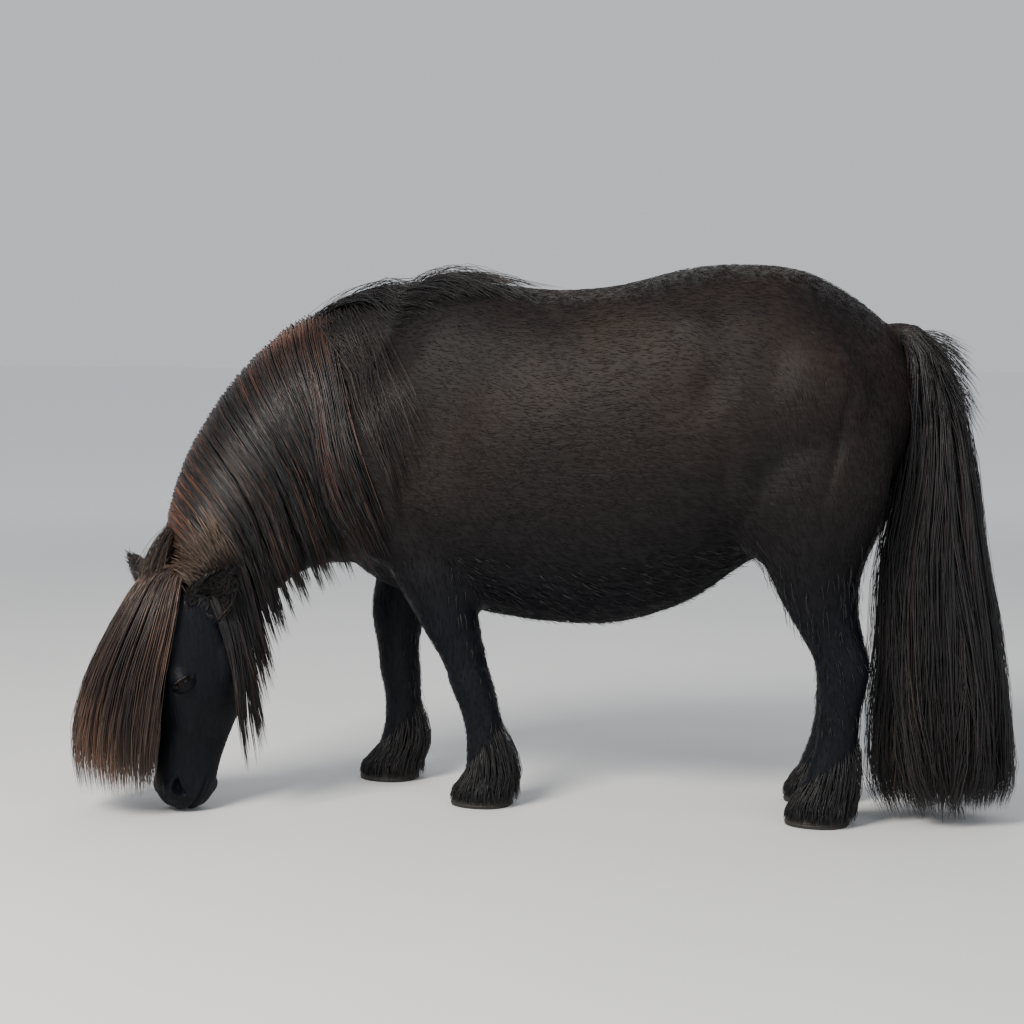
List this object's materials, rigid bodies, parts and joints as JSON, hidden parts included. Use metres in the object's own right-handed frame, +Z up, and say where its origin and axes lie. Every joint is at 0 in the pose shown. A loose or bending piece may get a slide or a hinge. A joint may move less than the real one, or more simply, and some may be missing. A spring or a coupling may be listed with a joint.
{
  "type": "shetland pony",
  "caption": "Life-size still model of a dark shetland pony grazing, head down and turned to its left, with long mane, heavy forelock and a tail to the ground.",
  "frame": {"origin": "on the floor under the middle of the pony's bounding box", "axes": "+Z up; the pony faces -X with its tail towards +X, and its left side, where the mane hangs, faces -Y"},
  "size_m": [1.7116, 0.6762, 1.032],
  "materials": {
    "coat": "short dense dark brown coat with a soft sheen",
    "long_hair": "long straight black-brown hair, slightly glossy",
    "horn": "dark grey-brown hoof horn, satin",
    "eye": "wet dark brown eye"
  },
  "bodies": {
    "root": {"torso": "coat", "neck": "coat", "head": "coat", "tail": "long_hair", "leg_fore_left": "coat", "hoof_fore_left": "horn", "leg_fore_right": "coat", "hoof_fore_right": "horn", "leg_hind_left": "coat", "hoof_hind_left": "horn", "leg_hind_right": "coat", "hoof_hind_right": "horn", "eye_left": "eye", "eye_right": "eye", "ear_left": "coat", "ear_right": "coat"}
  },
  "joints": []
}
